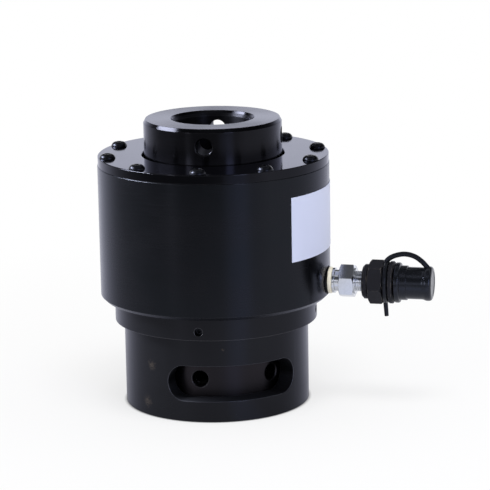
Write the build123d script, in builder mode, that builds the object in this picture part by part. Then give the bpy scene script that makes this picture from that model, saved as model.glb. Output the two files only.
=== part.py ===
"""Hydraulic bolt tensioner for an M48 stud, in millimetres.

The origin is on the bolt axis at the bridge's foot, +Z points up the bolt, and the oil
port looks along +X. An azimuth is counted from the front (-Y) round towards the port.
"""

from build123d import *
import os
from math import asin, cos, degrees, hypot, radians, sin, tan

os.makedirs("parts", exist_ok=True)

# Clearances and small edges
running_clearance = 0.07
thread_clearance = 0.04
seat_gap = 0.1
small_chamfer = 0.5
hole_chamfer = 0.5
edge_match = 0.001

# Heights of the stack, from the foot up
skirt_height = 53.5
collar_height = 14.5
body_height = 84.5
plate_thickness = 5.6
puller_stand = 22.4
collar_top = skirt_height + collar_height
body_top = collar_top + body_height
plate_top = body_top + plate_thickness
puller_top = plate_top + puller_stand

# Nut and its socket
nut_flats = 75.5
socket_wall = 2.4
socket_foot_gap = 1.0
socket_lip_width = 1.25
socket_lip_height = 6.0
socket_flange_width = 4.0
socket_flange_height = 3.8
socket_hole_radius = 5.0
socket_hole_azimuth = 0.1
socket_hole_count = 6
socket_mouth_cut = 0.6
socket_mouth_depth = 3.5
nut_corner_radius = nut_flats / 2 / cos(radians(30))
socket_radius = nut_corner_radius + socket_wall
socket_flange_radius = socket_radius + socket_flange_width
socket_lip_radius = nut_flats / 2 - socket_lip_width
socket_mouth_radius = nut_corner_radius - socket_mouth_cut

# Bridge
socket_play = 0.5
skirt_wall = 11.65
shoulder_drop = 9.5
window_sill = 13.2
window_height = 22.3
window_half_span = 43.3
window_azimuth = 25.2
window_count = 2
window_edge = 0.5
bridge_bore_radius = socket_radius + socket_play
flange_recess_radius = socket_flange_radius + socket_play
skirt_radius = bridge_bore_radius + skirt_wall
shoulder_height = skirt_height - shoulder_drop
window_middle = window_sill + window_height / 2
socket_flange_bottom = shoulder_height + seat_gap
socket_top = socket_flange_bottom + socket_flange_height

# Puller, the reaction nut on the stud
stud_radius = 24.0
thread_length = 60.0
thread_lead_in = 1.5
puller_nose_wall = 9.0
puller_nose_gap = 2.1
puller_bore_relief = 0.3
puller_mouth_width = 2.0
puller_mouth_depth = 3.2
puller_radius = 43.2
puller_edge_width = 1.3
puller_edge_height = 2.3
bar_hole_radius = 5.0
bar_hole_drop = 10.9
bar_hole_azimuth = 6.15
bar_hole_count = 4
puller_nose_radius = stud_radius + puller_nose_wall
puller_nose_end = socket_top + puller_nose_gap
puller_bore_radius = stud_radius + puller_bore_relief
puller_mouth_radius = puller_bore_radius + puller_mouth_width
thread_start = puller_nose_end + thread_lead_in
thread_end = thread_start + thread_length

# Cylinder body: neck bore, spigot, chamber and outside
piston_play = 1.0
piston_tail_wall = 8.07
seal_section = 5.4
spigot_wall = 7.6
spigot_depth = 13.0
spigot_groove_depth = 1.2
spigot_groove_width = 4.6
spigot_floor_gap = 0.3
collar_wall = 8.8
chamber_floor_thickness = 8.0
well_radius = 5.8
well_gap = 0.8
piston_rim_wall = 3.4
screw_circle_wall = 7.5
screw_edge_distance = 6.0
body_bottom_chamfer = 2.2
body_top_chamfer = 0.4
piston_bore_radius = puller_nose_radius + piston_play
neck_bore_radius = piston_bore_radius + piston_tail_wall - running_clearance
spigot_radius = neck_bore_radius + seal_section + spigot_wall
spigot_bottom = collar_top - spigot_depth
spigot_seat_radius = spigot_radius + running_clearance
spigot_groove_radius = spigot_radius - spigot_groove_depth
collar_radius = spigot_radius + collar_wall
chamber_floor = collar_top + chamber_floor_thickness
spring_circle_radius = puller_radius + well_gap + well_radius
body_bore_radius = spring_circle_radius + well_radius + piston_rim_wall
screw_circle_radius = body_bore_radius + screw_circle_wall
body_radius = screw_circle_radius + screw_edge_distance

# Grub screws that hold the bridge on the spigot
grub_radius = 2.5
grub_drop = 9.0
grub_azimuth = 3.6
grub_count = 4
grub_recess = 3.2
grub_point_radius = 1.75
grub_point_length = 2.4
grub_key = 2.5
grub_key_depth = 2.5
grub_height = collar_top - grub_drop
grub_out = collar_radius - grub_recess
grub_tip = spigot_groove_radius + 2 * seat_gap
grub_shoulder = grub_tip + grub_point_length

# Piston
piston_stroke = 10.0
stroke_margin = 0.5
piston_tail_rise = 2.0
piston_relief_depth = 2.0
piston_relief_height = 8.0
well_depth = 35.0
piston_top = body_top - piston_stroke - stroke_margin
piston_bottom = chamber_floor + seat_gap
piston_tail = spigot_bottom + piston_tail_rise
piston_radius = body_bore_radius - running_clearance
piston_tail_radius = neck_bore_radius - running_clearance
piston_relief_radius = body_bore_radius - piston_relief_depth
puller_shoulder = piston_top + seat_gap

# Seals, backup rings and guide rings, and their grooves
seal_height = 5.5
seal_notch_width = 1.6
seal_notch_depth = 2.4
backup_height = 2.6
guide_height = 6.0
guide_section = 2.5
guide_split = 2.0
groove_play = 0.1
outer_seal_land = 2.4
outer_guide_land = 3.1
inner_seal_land = 2.8
inner_guide_land = 2.6
seal_groove_height = seal_height + backup_height + 3 * groove_play
guide_groove_height = guide_height + 2 * groove_play
outer_seal_bottom = piston_bottom + piston_relief_height + outer_seal_land
outer_seal_top = outer_seal_bottom + seal_groove_height
outer_guide_bottom = outer_seal_top + outer_guide_land
outer_guide_top = outer_guide_bottom + guide_groove_height
outer_seal_radius = body_bore_radius - seal_section
outer_guide_radius = body_bore_radius - guide_section - groove_play
inner_seal_top = chamber_floor - inner_seal_land
inner_seal_bottom = inner_seal_top - seal_groove_height
inner_guide_bottom = spigot_bottom + inner_guide_land
inner_guide_top = inner_guide_bottom + guide_groove_height
inner_seal_radius = neck_bore_radius + seal_section
inner_guide_radius = neck_bore_radius + guide_section + groove_play

# Return springs, in wells in the piston's top
spring_count = 10
spring_wire_radius = 0.65
spring_turns = 7
well_play = 0.8
spring_radius = well_radius - well_play
well_floor = piston_top - well_depth

# Cover plate and its button head screws
plate_inset = 0.3
plate_hole_gap = 1.5
plate_chamfer = 0.4
screw_count = 10
screw_azimuth = 5.5
screw_radius = 2.5
screw_length = 16.0
screw_head_radius = 5.0
screw_head_height = 2.8
screw_crown_radius = 2.3
screw_head_rim = 0.2
screw_head_bulge = 0.6
screw_key = 3.0
screw_key_depth = 1.6
screw_hole_clearance = 0.25
tapped_spare_depth = 2.6
plate_radius = body_radius - plate_inset
plate_hole_radius = puller_radius + plate_hole_gap
tapped_depth = screw_length - plate_thickness + tapped_spare_depth

# Oil port, along +X; from here on a distance is counted out from the bolt axis
port_rise = 3.0
port_face_depth = 1.0
port_face_radius = 9.0
port_thread_radius = 6.58
port_thread_depth = 9.5
port_drill_radius = 2.0
port_height = chamber_floor + port_rise
port_face = body_radius - port_face_depth
port_thread_end = port_face - port_thread_depth

# Seal washer and zinc adapter
washer_width = 1.65
washer_thickness = 4.3
washer_edge = 1.5
adapter_stub_length = 8.0
adapter_collar_radius = 7.9
adapter_collar_length = 1.5
adapter_neck_radius = 6.7
adapter_neck_length = 3.1
adapter_hex_flats = 19.0
adapter_hex_length = 9.3
adapter_hex_edge = 0.8
adapter_hex_angle = 160.0
adapter_ring_radius = 8.2
adapter_ring_length = 0.7
adapter_bore_radius = 2.5
adapter_thread_radius = 6.4
adapter_thread_pitch = 1.337
adapter_thread_depth = 0.45
adapter_thread_flank = 0.53
adapter_thread_length = 14.1
adapter_thread_shown = 4.5
washer_radius = adapter_neck_radius + washer_width
adapter_start = port_face - adapter_stub_length
adapter_collar_start = port_face + washer_thickness
adapter_collar_end = adapter_collar_start + adapter_collar_length
adapter_hex_start = adapter_collar_end + adapter_neck_length
adapter_ring_end = adapter_hex_start + adapter_hex_length + adapter_ring_length
adapter_end = adapter_ring_end + adapter_thread_length

# Coupler nipple
nipple_flange_radius = 10.8
nipple_flange_taper = 1.2
nipple_flange_length = 3.3
nipple_waist_radius = 10.3
nipple_waist_length = 0.7
nipple_hex_flats = 24.0
nipple_hex_length = 8.9
nipple_hex_edge = 0.9
nipple_hex_angle = 11.4
nipple_groove_radius = 10.2
nipple_groove_length = 3.8
nipple_rim_radius = 13.2
nipple_rim_length = 2.8
nipple_nose_radius = 8.15
nipple_nose_length = 16.6
nipple_nose_chamfer = 0.8
nipple_start = adapter_ring_end + adapter_thread_shown
nipple_hex_start = nipple_start + nipple_flange_length + nipple_waist_length
nipple_groove_start = nipple_hex_start + nipple_hex_length
nipple_rim_start = nipple_groove_start + nipple_groove_length
nipple_nose_start = nipple_rim_start + nipple_rim_length
nipple_end = nipple_nose_start + nipple_nose_length

# Check valve in the nipple
valve_stop_length = 3.0
valve_stop_hole_radius = 0.8
valve_stop_hole_offset = 4.0
valve_stop_hole_count = 4
valve_chamber_radius = 4.6
valve_seat_length = 3.0
valve_mouth_radius = 2.6
valve_mouth_length = 4.0
poppet_play = 0.4
poppet_head_length = 4.5
poppet_stem_radius = 1.5
poppet_tail_radius = 1.4
poppet_tail_hold = 2.0
poppet_front_recess = 0.4
poppet_seal_wire = 0.3
valve_spring_radius = 3.0
valve_spring_wire = 0.35
valve_spring_turns = 5
valve_stop_start = adapter_end + thread_clearance
valve_stop_end = valve_stop_start + valve_stop_length
valve_chamber_start = valve_stop_end + thread_clearance
valve_seat_end = nipple_end - valve_mouth_length
valve_seat_start = valve_seat_end - valve_seat_length
poppet_radius = valve_chamber_radius - poppet_play

# Dust cap
cap_gap = 1.2
cap_fit = 0.15
cap_wall = 1.7
cap_lip_stand = 2.5
cap_lip_length = 2.4
cap_step_stand = 0.8
cap_step_length = 4.8
cap_barrel_length = 11.6
cap_bead_stand = 0.8
cap_bead_length = 1.2
cap_crown_length = 2.9
cap_crown_inset = 1.2
cap_crown_arc = 3.2
cap_end_play = 1.8
cap_start = nipple_nose_start + cap_gap
cap_bore_radius = nipple_nose_radius + cap_fit
cap_bore_end = nipple_end + cap_end_play
cap_barrel_radius = cap_bore_radius + cap_wall
cap_lip_radius = cap_barrel_radius + cap_lip_stand
cap_step_radius = cap_barrel_radius + cap_step_stand
cap_bead_radius = cap_barrel_radius + cap_bead_stand
cap_crown_radius = cap_barrel_radius - cap_crown_inset
cap_step_start = cap_start + cap_lip_length
cap_barrel_start = cap_step_start + cap_step_length
cap_bead_start = cap_barrel_start + cap_barrel_length
cap_bead_end = cap_bead_start + cap_bead_length
cap_end = cap_bead_end + cap_crown_length

# Tether: a ring in the nipple's groove, and a strap over to the dust cap. Its points are
# (out, up) from the ring's centre on the port axis.
tether_ring_wire = 1.5
tether_lug_radius = 1.75
tether_tail_radius = 1.35
tether_tail_start = (-0.9, -12.0)
tether_tail_end = (-0.6, -21.5)
strap_radius = 1.6
strap_bend_share = 0.45
strap_route = [
    (-0.4, 13.3),
    (0.9, 15.0),
    (5.2, 17.2),
    (11.2, 18.5),
    (17.6, 17.1),
    (22.2, 13.7),
    (23.8, 12.0),
]
tether_ring_distance = nipple_groove_start + nipple_groove_length / 2
tether_ring_radius = nipple_groove_radius + tether_ring_wire + seat_gap

# Blank label
label_thickness = 0.3
label_rise = 20.6
label_height = 40.2
label_half_angle = 36.3
label_lift = 0.02
label_bottom = port_height + label_rise


def outward(azimuth):
    """Direction straight out from the bolt axis at an azimuth."""
    return Vector(sin(radians(azimuth)), -cos(radians(azimuth)), 0)


def facing_out(azimuth, distance, height):
    """Plane that faces straight out from the bolt axis, with its own y axis up."""
    along = Vector(cos(radians(azimuth)), sin(radians(azimuth)), 0)
    origin = outward(azimuth) * distance + Vector(0, 0, height)
    return Plane(origin=origin, x_dir=along, z_dir=outward(azimuth))


def around(azimuth, count):
    """Azimuths of a ring of like features."""
    return [azimuth + k * 360 / count for k in range(count)]


def port_plane(distance):
    """Plane across the port axis at a distance from the bolt axis."""
    return Plane(origin=(distance, 0, port_height), x_dir=(0, 1, 0), z_dir=(1, 0, 0))


def edges_on_cylinder(piece, radius, bottom, top):
    """Edges that lie on an upright cylinder between two heights."""
    def lies_on_it(edge):
        points = [edge @ step for step in (0, 0.25, 0.5, 0.75, 1)]
        return all(
            abs(hypot(point.X, point.Y) - radius) < edge_match and bottom < point.Z < top
            for point in points
        )
    return piece.edges().filter_by(lies_on_it)


port_axis = Axis((0, 0, port_height), (1, 0, 0))
port_section = Plane(origin=(0, 0, port_height), x_dir=(1, 0, 0), z_dir=(0, -1, 0))


def save(piece, name):
    """Labels a finished piece and writes its file."""
    piece.part.label = name
    export_step(piece.part, f"parts/{name}.step")


# Bridge: the foot ring with two windows for turning the nut, and the collar on top
with BuildPart() as bridge:
    with BuildSketch(Plane.XZ):
        with BuildLine():
            Polyline(
                (bridge_bore_radius, 0),
                (skirt_radius, 0),
                (skirt_radius, skirt_height),
                (collar_radius, skirt_height),
                (collar_radius, collar_top),
                (spigot_seat_radius, collar_top),
                (spigot_seat_radius, spigot_bottom - spigot_floor_gap),
                (flange_recess_radius, spigot_bottom - spigot_floor_gap),
                (flange_recess_radius, shoulder_height),
                (bridge_bore_radius, shoulder_height),
                close=True,
            )
        make_face()
    revolve(axis=Axis.Z)
    skirt_rims = bridge.faces().sort_by(Axis.Z)[0].edges().sort_by(SortBy.RADIUS)
    chamfer(skirt_rims[-1], small_chamfer)
    window_end = window_half_span - degrees(asin(window_height / 2 / skirt_radius))
    window_reach = skirt_radius + collar_radius
    for azimuth in around(window_azimuth, window_count):
        floor_plane = Plane(
            origin=(0, 0, window_middle - window_height / 2),
            x_dir=outward(azimuth),
            z_dir=(0, 0, 1),
        )
        half_width = window_reach * tan(radians(window_end))
        with BuildSketch(floor_plane):
            Polygon(
                (0, 0), (window_reach, -half_width), (window_reach, half_width), align=None
            )
        extrude(amount=window_height, mode=Mode.SUBTRACT)
        for end in (azimuth - window_end, azimuth + window_end):
            with BuildSketch(facing_out(end, 0, window_middle)):
                Circle(window_height / 2)
            extrude(amount=window_reach, mode=Mode.SUBTRACT)
    window_rims = edges_on_cylinder(bridge, skirt_radius, small_chamfer * 2, shoulder_height)
    fillet(window_rims, window_edge)
    for azimuth in around(grub_azimuth, grub_count):
        with BuildSketch(facing_out(azimuth, 0, grub_height)):
            Circle(grub_radius + thread_clearance)
        extrude(amount=window_reach, mode=Mode.SUBTRACT)

# Grub screws with a dog point, run in until the point stands in the spigot's groove
with BuildPart() as bridge_set_screws:
    for azimuth in around(grub_azimuth, grub_count):
        with BuildSketch(facing_out(azimuth, grub_shoulder, grub_height)):
            Circle(grub_radius)
        extrude(amount=grub_out - grub_shoulder)
        with BuildSketch(facing_out(azimuth, grub_tip, grub_height)):
            Circle(grub_point_radius)
        extrude(amount=grub_point_length)
        with BuildSketch(facing_out(azimuth, grub_out, grub_height)):
            RegularPolygon(grub_key / 2, 6, major_radius=False)
        extrude(amount=-grub_key_depth, mode=Mode.SUBTRACT)

# Nut socket: a hexagon sleeve that turns the nut, with six tommy bar holes
with BuildPart() as nut_socket:
    with BuildSketch(Plane.XZ):
        with BuildLine():
            Polyline(
                (socket_lip_radius, socket_foot_gap),
                (socket_radius - small_chamfer, socket_foot_gap),
                (socket_radius, socket_foot_gap + small_chamfer),
                (socket_radius, socket_flange_bottom),
                (socket_flange_radius, socket_flange_bottom),
                (socket_flange_radius, socket_top - small_chamfer),
                (socket_flange_radius - small_chamfer, socket_top),
                (socket_lip_radius, socket_top),
                close=True,
            )
        make_face()
    revolve(axis=Axis.Z)
    hex_height = socket_top - socket_lip_height - socket_foot_gap
    with BuildSketch(Plane.XY.offset(socket_foot_gap)):
        RegularPolygon(
            nut_flats / 2, 6, major_radius=False, rotation=socket_hole_azimuth - 90 + 30
        )
    extrude(amount=hex_height, mode=Mode.SUBTRACT)
    with BuildSketch(Plane.XZ):
        with BuildLine():
            Polyline(
                (0, socket_foot_gap),
                (socket_mouth_radius, socket_foot_gap),
                (nut_flats / 2, socket_foot_gap + socket_mouth_depth),
                (0, socket_foot_gap + socket_mouth_depth),
                close=True,
            )
        make_face()
    revolve(axis=Axis.Z, mode=Mode.SUBTRACT)
    for azimuth in around(socket_hole_azimuth, socket_hole_count):
        with BuildSketch(facing_out(azimuth, 0, window_middle)):
            Circle(socket_hole_radius)
        extrude(amount=socket_flange_radius, mode=Mode.SUBTRACT)
    hole_bottom = socket_foot_gap + small_chamfer + hole_chamfer
    hole_top = socket_flange_bottom - hole_chamfer
    chamfer(edges_on_cylinder(nut_socket, socket_radius, hole_bottom, hole_top), hole_chamfer)

# Cylinder body: spigot, neck bore with the inner glands, chamber and oil port
with BuildPart() as cylinder_body:
    groove_bottom = grub_height - spigot_groove_width / 2
    groove_top = grub_height + spigot_groove_width / 2
    with BuildSketch(Plane.XZ):
        with BuildLine():
            Polyline(
                (neck_bore_radius, spigot_bottom),
                (spigot_radius - 2 * small_chamfer, spigot_bottom),
                (spigot_radius, spigot_bottom + small_chamfer),
                (spigot_radius, groove_bottom),
                (spigot_groove_radius, groove_bottom),
                (spigot_groove_radius, groove_top),
                (spigot_radius, groove_top),
                (spigot_radius, collar_top),
                (body_radius - body_bottom_chamfer, collar_top),
                (body_radius, collar_top + body_bottom_chamfer),
                (body_radius, body_top - body_top_chamfer),
                (body_radius - body_top_chamfer, body_top),
                (body_bore_radius, body_top),
                (body_bore_radius, chamber_floor),
                (neck_bore_radius, chamber_floor),
                (neck_bore_radius, inner_seal_top),
                (inner_seal_radius, inner_seal_top),
                (inner_seal_radius, inner_seal_bottom),
                (neck_bore_radius, inner_seal_bottom),
                (neck_bore_radius, inner_guide_top),
                (inner_guide_radius, inner_guide_top),
                (inner_guide_radius, inner_guide_bottom),
                (neck_bore_radius, inner_guide_bottom),
                close=True,
            )
        make_face()
    revolve(axis=Axis.Z)
    with BuildSketch(port_plane(port_face)):
        Circle(port_face_radius)
    extrude(amount=body_radius - port_face + small_chamfer, mode=Mode.SUBTRACT)
    with BuildSketch(port_plane(port_thread_end)):
        Circle(port_thread_radius)
    extrude(amount=port_face - port_thread_end, mode=Mode.SUBTRACT)
    with BuildSketch(port_plane(body_bore_radius - small_chamfer)):
        Circle(port_drill_radius)
    extrude(amount=port_thread_end - body_bore_radius + small_chamfer, mode=Mode.SUBTRACT)
    with BuildSketch(Plane.XY.offset(body_top)):
        with PolarLocations(screw_circle_radius, screw_count, start_angle=screw_azimuth - 90):
            Circle(screw_radius + thread_clearance)
    extrude(amount=-tapped_depth, mode=Mode.SUBTRACT)

# Cover plate over the springs
with BuildPart() as cover_plate:
    with BuildSketch(Plane.XZ):
        with BuildLine():
            Polyline(
                (plate_hole_radius, body_top),
                (plate_radius, body_top),
                (plate_radius, plate_top - plate_chamfer),
                (plate_radius - plate_chamfer, plate_top),
                (plate_hole_radius + plate_chamfer, plate_top),
                (plate_hole_radius, plate_top - plate_chamfer),
                close=True,
            )
        make_face()
    revolve(axis=Axis.Z)
    with BuildSketch(Plane.XY.offset(body_top)):
        with PolarLocations(screw_circle_radius, screw_count, start_angle=screw_azimuth - 90):
            Circle(screw_radius + screw_hole_clearance)
    extrude(amount=plate_thickness, mode=Mode.SUBTRACT)

# One button head screw, standing on the origin with its shank down
with BuildPart() as button_screw:
    with BuildSketch(Plane.XZ):
        with BuildLine():
            crown = (screw_crown_radius, screw_head_height)
            rim = (screw_head_radius, screw_head_rim)
            Polyline((screw_head_radius, 0), (screw_radius, 0), (screw_radius, -screw_length),
                     (0, -screw_length), (0, screw_head_height), crown)
            Line((screw_head_radius, 0), rim)
            SagittaArc(rim, crown, -screw_head_bulge)
        make_face()
    revolve(axis=Axis.Z)
    with BuildSketch(Plane.XY.offset(screw_head_height)):
        RegularPolygon(screw_key / 2, 6, major_radius=False)
    extrude(amount=-screw_key_depth, mode=Mode.SUBTRACT)

with BuildPart() as cover_screws:
    with Locations((0, 0, plate_top)):
        with PolarLocations(screw_circle_radius, screw_count, start_angle=screw_azimuth - 90):
            add(button_screw.part)

# Piston: a ring piston whose tail slides in the neck bore
with BuildPart() as piston:
    relief_top = piston_bottom + piston_relief_height
    with BuildSketch(Plane.XZ):
        with BuildLine():
            Polyline(
                (piston_bore_radius, piston_tail),
                (piston_tail_radius - small_chamfer, piston_tail),
                (piston_tail_radius, piston_tail + small_chamfer),
                (piston_tail_radius, piston_bottom),
                (piston_relief_radius, piston_bottom),
                (piston_relief_radius, relief_top - small_chamfer),
                (piston_radius, relief_top),
                (piston_radius, outer_seal_bottom),
                (outer_seal_radius, outer_seal_bottom),
                (outer_seal_radius, outer_seal_top),
                (piston_radius, outer_seal_top),
                (piston_radius, outer_guide_bottom),
                (outer_guide_radius, outer_guide_bottom),
                (outer_guide_radius, outer_guide_top),
                (piston_radius, outer_guide_top),
                (piston_radius, piston_top - small_chamfer),
                (piston_radius - small_chamfer, piston_top),
                (piston_bore_radius, piston_top),
                close=True,
            )
        make_face()
    revolve(axis=Axis.Z)
    with BuildSketch(Plane.XY.offset(piston_top)):
        with PolarLocations(spring_circle_radius, spring_count, start_angle=screw_azimuth):
            Circle(well_radius)
    extrude(amount=-well_depth, mode=Mode.SUBTRACT)


def coil(radius, wire, length, turns):
    """An open coil spring that stands on the origin, between two flat seats."""
    with BuildPart() as spring:
        with BuildLine():
            rise = length - 2 * wire
            turn = Helix(rise / turns, rise, radius, center=(0, 0, wire))
        with BuildSketch(Plane(origin=turn @ 0, z_dir=turn % 0)):
            Circle(wire)
        sweep(is_frenet=True)
    return spring.part


# Return springs, between the wells' floors and the cover plate
spring_space = body_top - well_floor
return_coil = coil(
    spring_radius - spring_wire_radius,
    spring_wire_radius,
    spring_space - 2 * seat_gap,
    spring_turns,
)
with BuildPart() as return_springs:
    with Locations((0, 0, well_floor + seat_gap)):
        with PolarLocations(spring_circle_radius, spring_count, start_angle=screw_azimuth):
            add(return_coil)


def lip_seal(inner, outer, bottom, top, open_end):
    """A U-section seal ring, notched on the side that the oil reaches."""
    middle = (inner + outer) / 2
    notch_root = open_end + (seal_notch_depth if open_end == bottom else -seal_notch_depth)
    with BuildPart() as ring:
        with BuildSketch(Plane.XZ):
            with BuildLine():
                Polyline((inner, bottom), (outer, bottom), (outer, top), (inner, top), close=True)
            make_face()
            with BuildLine():
                Polyline(
                    (middle - seal_notch_width / 2, open_end),
                    (middle + seal_notch_width / 2, open_end),
                    (middle, notch_root),
                    close=True,
                )
            make_face(mode=Mode.SUBTRACT)
        revolve(axis=Axis.Z)
    return ring


def flat_ring(inner, outer, bottom, height, split=0):
    """A plain ring, cut through on one side where it is a split ring."""
    with BuildPart() as ring:
        with BuildSketch(Plane.XY.offset(bottom)):
            Circle(outer)
            Circle(inner, mode=Mode.SUBTRACT)
            if split:
                with Locations((0, outer)):
                    Rectangle(split, outer, mode=Mode.SUBTRACT)
        extrude(amount=height)
    return ring


# Outer seal set, carried by the piston with the oil below it
outer_seal_face = body_bore_radius - running_clearance
outer_seal_start = outer_seal_bottom + groove_play
outer_backup_start = outer_seal_start + seal_height + groove_play
outer_seal = lip_seal(
    outer_seal_radius + groove_play,
    outer_seal_face,
    outer_seal_start,
    outer_seal_start + seal_height,
    outer_seal_start,
)
outer_backup_ring = flat_ring(
    outer_seal_radius + groove_play, outer_seal_face, outer_backup_start, backup_height
)
outer_guide_ring = flat_ring(
    outer_guide_radius + groove_play,
    outer_seal_face,
    outer_guide_bottom + groove_play,
    guide_height,
    guide_split,
)

# Inner seal set, held in the neck bore with the oil above it
inner_seal_face = neck_bore_radius + groove_play - running_clearance
inner_backup_start = inner_seal_bottom + groove_play
inner_seal_start = inner_backup_start + backup_height + groove_play
inner_seal = lip_seal(
    inner_seal_face,
    inner_seal_radius - groove_play,
    inner_seal_start,
    inner_seal_start + seal_height,
    inner_seal_start + seal_height,
)
inner_backup_ring = flat_ring(
    inner_seal_face, inner_seal_radius - groove_play, inner_backup_start, backup_height
)
inner_guide_ring = flat_ring(
    inner_seal_face,
    inner_guide_radius - groove_play,
    inner_guide_bottom + groove_play,
    guide_height,
    guide_split,
)

# Puller: it screws down the stud, and its shoulder sits on the piston
with BuildPart() as puller:
    with BuildSketch(Plane.XZ):
        with BuildLine():
            Polyline(
                (stud_radius + thread_lead_in, puller_nose_end),
                (puller_nose_radius - 2 * small_chamfer, puller_nose_end),
                (puller_nose_radius, puller_nose_end + 2 * small_chamfer),
                (puller_nose_radius, puller_shoulder),
                (puller_radius - small_chamfer, puller_shoulder),
                (puller_radius, puller_shoulder + small_chamfer),
                (puller_radius, puller_top - puller_edge_height),
                (puller_radius - puller_edge_width, puller_top),
                (puller_mouth_radius, puller_top),
                (puller_bore_radius, puller_top - puller_mouth_depth),
                (puller_bore_radius, thread_end),
                (stud_radius, thread_end),
                (stud_radius, thread_start),
                close=True,
            )
        make_face()
    revolve(axis=Axis.Z)
    for azimuth in around(bar_hole_azimuth, bar_hole_count):
        with BuildSketch(facing_out(azimuth, 0, puller_top - bar_hole_drop)):
            Circle(bar_hole_radius)
        extrude(amount=puller_radius + small_chamfer, mode=Mode.SUBTRACT)
    hole_top = puller_top - puller_edge_height - hole_chamfer
    chamfer(edges_on_cylinder(puller, puller_radius, plate_top, hole_top), hole_chamfer)

# Seal washer under the adapter
with BuildPart() as port_seal_washer:
    with BuildSketch(port_plane(port_face)):
        Circle(washer_radius)
        Circle(adapter_neck_radius + thread_clearance, mode=Mode.SUBTRACT)
    extrude(amount=washer_thickness)
    washer_rims = port_seal_washer.faces().sort_by(Axis.X)[-1].edges()
    fillet(washer_rims.sort_by(SortBy.RADIUS)[-1], washer_edge)


def turned_hexagon(flats, start, length, angle, edge):
    """A hexagon bar across the port axis, its corners turned off at both ends."""
    corner_radius = flats / 2 / cos(radians(30))
    face_radius = corner_radius - edge / tan(radians(30))
    with BuildPart() as bar:
        with BuildSketch(port_plane(start)):
            RegularPolygon(flats / 2, 6, major_radius=False, rotation=angle)
        extrude(amount=length)
        with BuildSketch(port_section):
            with BuildLine():
                Polyline(
                    (start, 0),
                    (start, face_radius),
                    (start + edge, corner_radius),
                    (start + length - edge, corner_radius),
                    (start + length, face_radius),
                    (start + length, 0),
                    close=True,
                )
            make_face()
        revolve(axis=port_axis, mode=Mode.INTERSECT)
    return bar.part


# Adapter: a zinc plated hexagon nipple from the port to the coupler
with BuildPart() as port_adapter:
    add(
        turned_hexagon(
            adapter_hex_flats,
            adapter_hex_start,
            adapter_hex_length,
            adapter_hex_angle,
            adapter_hex_edge,
        )
    )
    with BuildSketch(port_section):
        with BuildLine():
            Polyline(
                (adapter_start, 0),
                (adapter_start, adapter_neck_radius - 2 * small_chamfer),
                (adapter_start + 2 * small_chamfer, port_thread_radius - thread_clearance),
                (port_face, port_thread_radius - thread_clearance),
                (port_face, adapter_neck_radius),
                (adapter_collar_start, adapter_neck_radius),
                (adapter_collar_start, adapter_collar_radius),
                (adapter_collar_end, adapter_collar_radius),
                (adapter_collar_end, adapter_neck_radius),
                (adapter_hex_start, adapter_neck_radius),
                (adapter_hex_start, adapter_ring_radius),
                (adapter_ring_end, adapter_ring_radius),
                (adapter_ring_end, adapter_thread_radius),
                (adapter_end, adapter_thread_radius),
                (adapter_end, 0),
                close=True,
            )
        make_face()
    revolve(axis=port_axis)
    with BuildSketch(port_section):
        for turn in range(int(adapter_thread_length / adapter_thread_pitch)):
            valley = adapter_ring_end + (turn + 0.5) * adapter_thread_pitch
            with BuildLine():
                Polyline(
                    (valley - adapter_thread_flank, adapter_thread_radius + small_chamfer),
                    (valley + adapter_thread_flank, adapter_thread_radius + small_chamfer),
                    (valley, adapter_thread_radius - adapter_thread_depth),
                    close=True,
                )
            make_face()
    revolve(axis=port_axis, mode=Mode.SUBTRACT)
    with BuildSketch(port_plane(adapter_start)):
        Circle(adapter_bore_radius)
    extrude(amount=adapter_end - adapter_start, mode=Mode.SUBTRACT)

# Coupler nipple: flange, hexagon, tether groove, rim, and the nose under the dust cap
with BuildPart() as coupler_nipple:
    add(
        turned_hexagon(
            nipple_hex_flats,
            nipple_hex_start,
            nipple_hex_length,
            nipple_hex_angle,
            nipple_hex_edge,
        )
    )
    with BuildSketch(port_section):
        with BuildLine():
            Polyline(
                (nipple_start, 0),
                (nipple_start, nipple_flange_radius - nipple_flange_taper),
                (nipple_start + nipple_flange_taper, nipple_flange_radius),
                (nipple_start + nipple_flange_length, nipple_flange_radius),
                (nipple_start + nipple_flange_length, nipple_waist_radius),
                (nipple_hex_start, nipple_waist_radius),
                (nipple_groove_start, nipple_groove_radius),
                (nipple_rim_start, nipple_groove_radius),
                (nipple_rim_start, nipple_rim_radius - small_chamfer),
                (nipple_rim_start + small_chamfer, nipple_rim_radius),
                (nipple_nose_start - small_chamfer, nipple_rim_radius),
                (nipple_nose_start, nipple_rim_radius - small_chamfer),
                (nipple_nose_start, nipple_nose_radius),
                (nipple_end - nipple_nose_chamfer, nipple_nose_radius),
                (nipple_end, nipple_nose_radius - nipple_nose_chamfer),
                (nipple_end, 0),
                close=True,
            )
        make_face()
    revolve(axis=port_axis)
    with BuildSketch(port_section):
        with BuildLine():
            Polyline(
                (nipple_start, 0),
                (nipple_start, adapter_thread_radius + thread_clearance),
                (valve_chamber_start, adapter_thread_radius + thread_clearance),
                (valve_chamber_start, valve_chamber_radius),
                (valve_seat_start, valve_chamber_radius),
                (valve_seat_end, valve_mouth_radius),
                (nipple_end, valve_mouth_radius),
                (nipple_end, 0),
                close=True,
            )
        make_face()
    revolve(axis=port_axis, mode=Mode.SUBTRACT)

# Valve stop: a drilled disc that guides the poppet's tail
with BuildPart() as valve_stop:
    with BuildSketch(port_plane(valve_stop_start)):
        Circle(adapter_thread_radius)
        Circle(poppet_tail_radius + running_clearance, mode=Mode.SUBTRACT)
        with PolarLocations(valve_stop_hole_offset, valve_stop_hole_count):
            Circle(valve_stop_hole_radius, mode=Mode.SUBTRACT)
    extrude(amount=valve_stop_length)

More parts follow.
